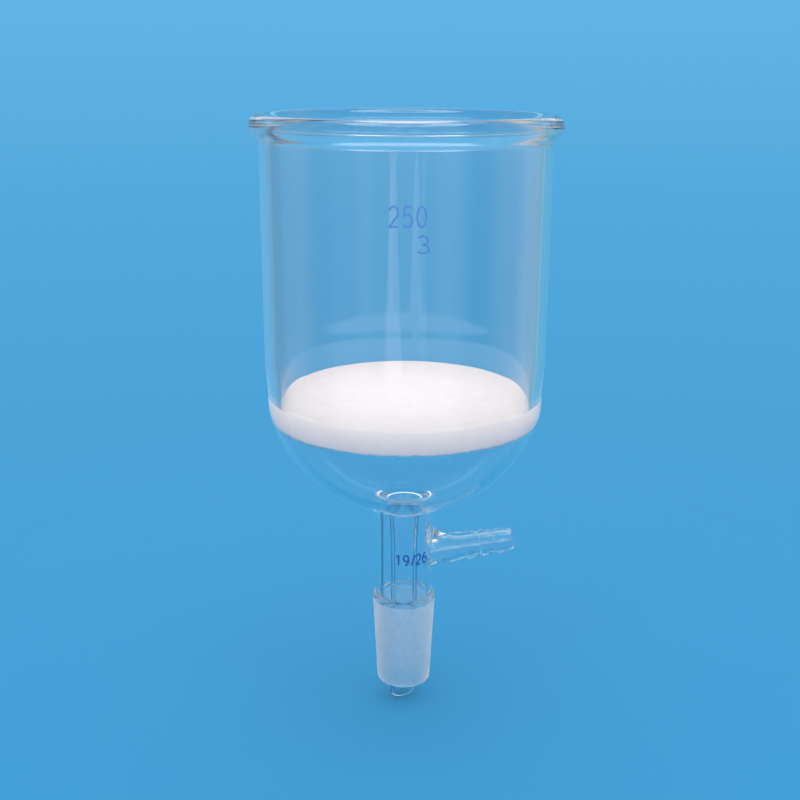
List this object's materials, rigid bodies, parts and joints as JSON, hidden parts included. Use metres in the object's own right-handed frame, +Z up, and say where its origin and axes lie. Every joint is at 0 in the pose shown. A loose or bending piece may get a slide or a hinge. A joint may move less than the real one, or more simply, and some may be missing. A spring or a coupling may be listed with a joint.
{
  "type": "fritted glass filter funnel",
  "caption": "Fritted glass filter funnel with a beaded cylindrical bowl, a sealed sintered disc, a jacketed stem with a ridged vacuum arm, a ground taper joint and a bevelled drip tip.",
  "frame": {"origin": "on the axis of the bowl and stem, in the plane of the large end of the ground cone", "axes": "+Z up along the axis, from the ground cone towards the rim of the bowl; +X towards the mouth of the vacuum arm"},
  "size_m": [0.0854, 0.0854, 0.177],
  "materials": {
    "clear_glass": "clear, ground on the joint",
    "sintered_glass": "matt, fine open grain"
  },
  "bodies": {
    "root": {"funnel_body": "clear_glass", "fritted_disc": "sintered_glass"}
  },
  "joints": []
}
